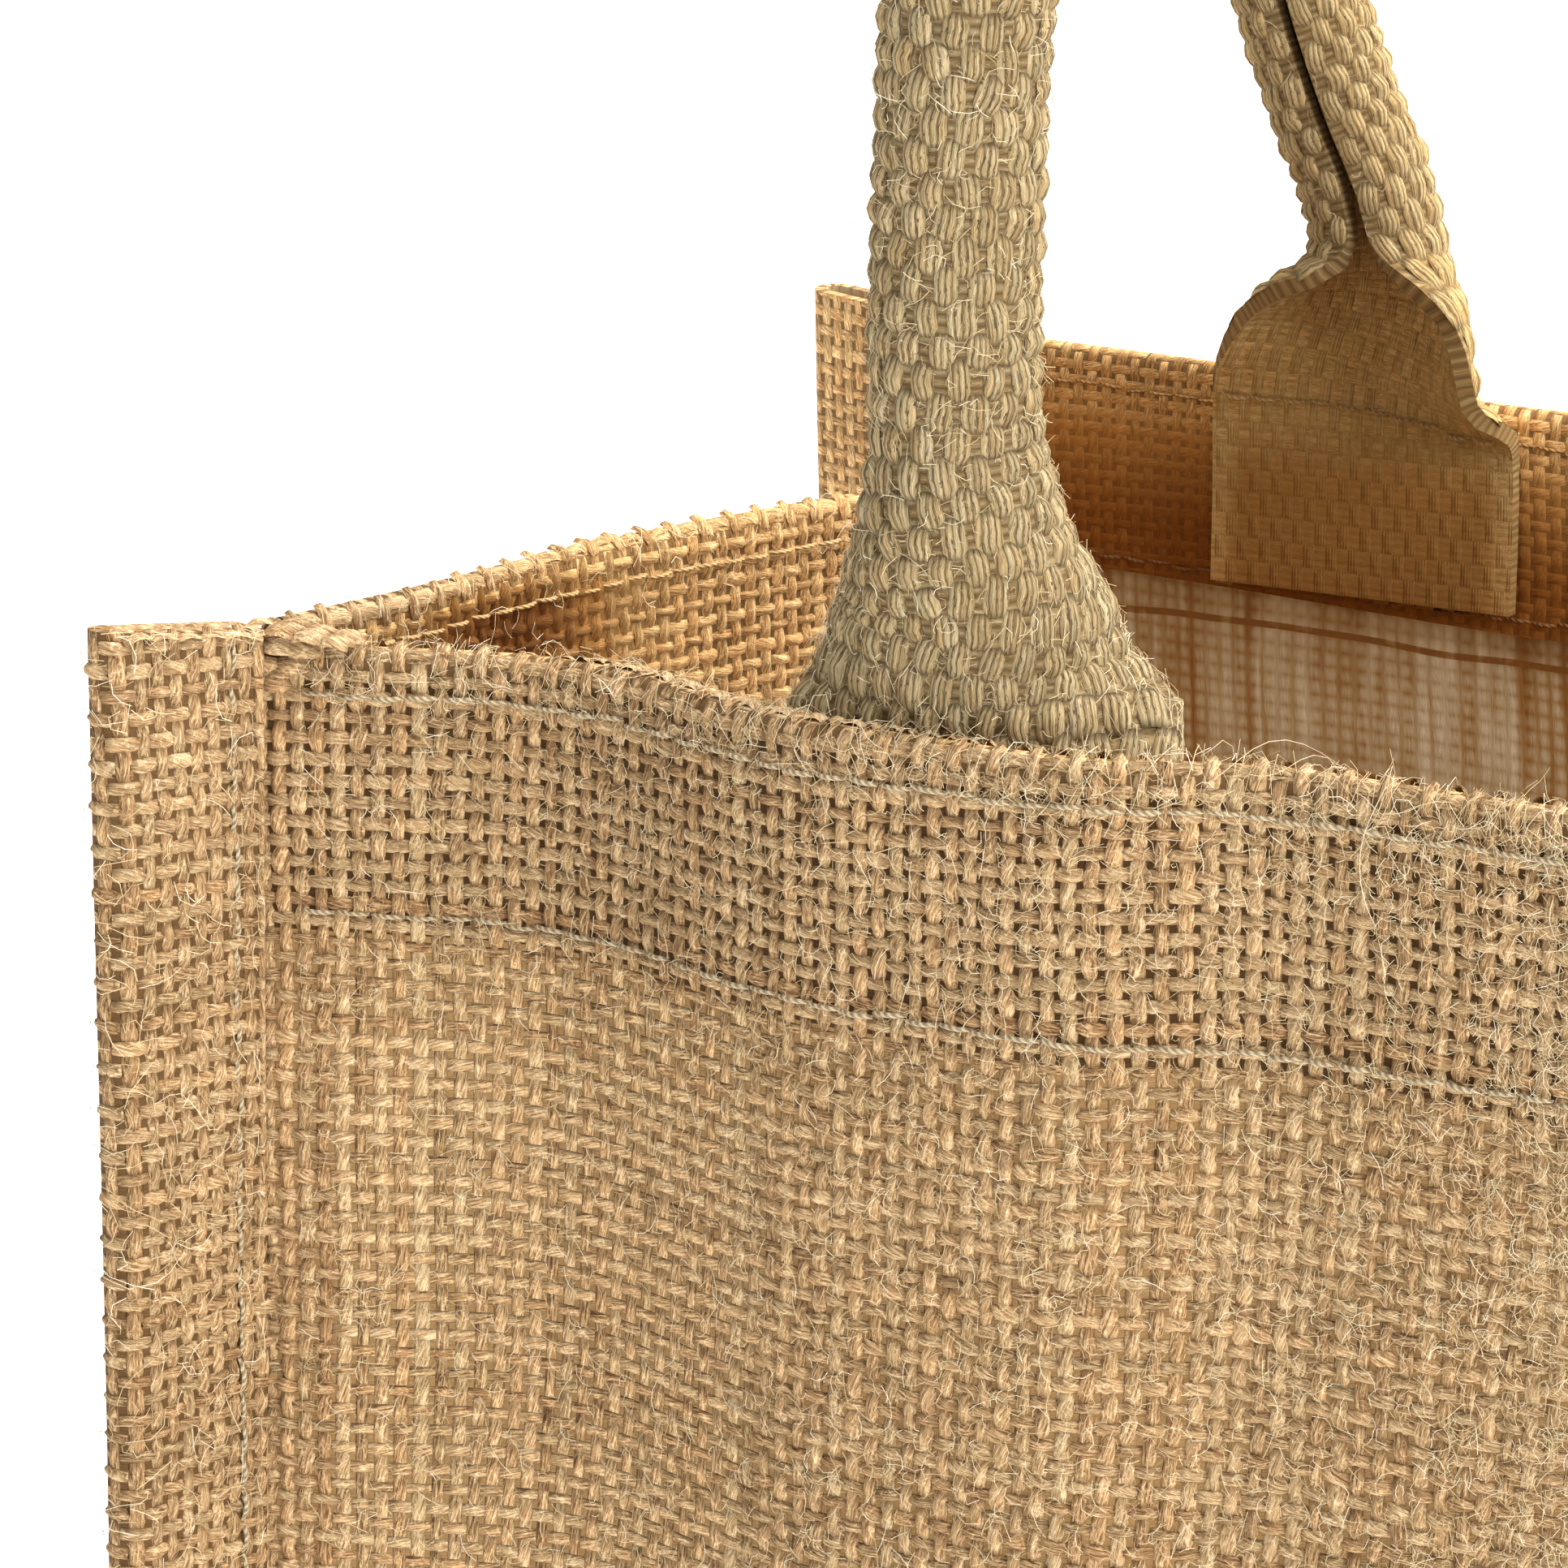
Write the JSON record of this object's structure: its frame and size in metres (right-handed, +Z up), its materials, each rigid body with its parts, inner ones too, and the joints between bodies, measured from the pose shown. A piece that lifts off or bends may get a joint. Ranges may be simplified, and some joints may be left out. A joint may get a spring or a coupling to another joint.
{
  "type": "jute tote bag",
  "caption": "Open jute tote bag with a flat base, side gussets folded inwards, hemmed mouth, outward seam flanges at the corners and rolled webbing handles standing up.",
  "frame": {"origin": "middle of the bounding box's bottom face, which lies in the plane of the base's underside", "axes": "+X to the right along the front panel, +Y from the front to the back, +Z up from the base to the mouth and the handles"},
  "size_m": [0.3328, 0.209, 0.5012],
  "materials": {
    "jute_cloth": "matt coarse plain weave, laminated inside",
    "side_cloth": "matt coarse plain weave, laminated inside",
    "webbing": "matt heavy jute webbing"
  },
  "bodies": {
    "root": {"body": "jute_cloth", "gusset_left": "side_cloth", "gusset_right": "side_cloth", "handle_front": "webbing", "handle_back": "webbing"}
  },
  "joints": []
}
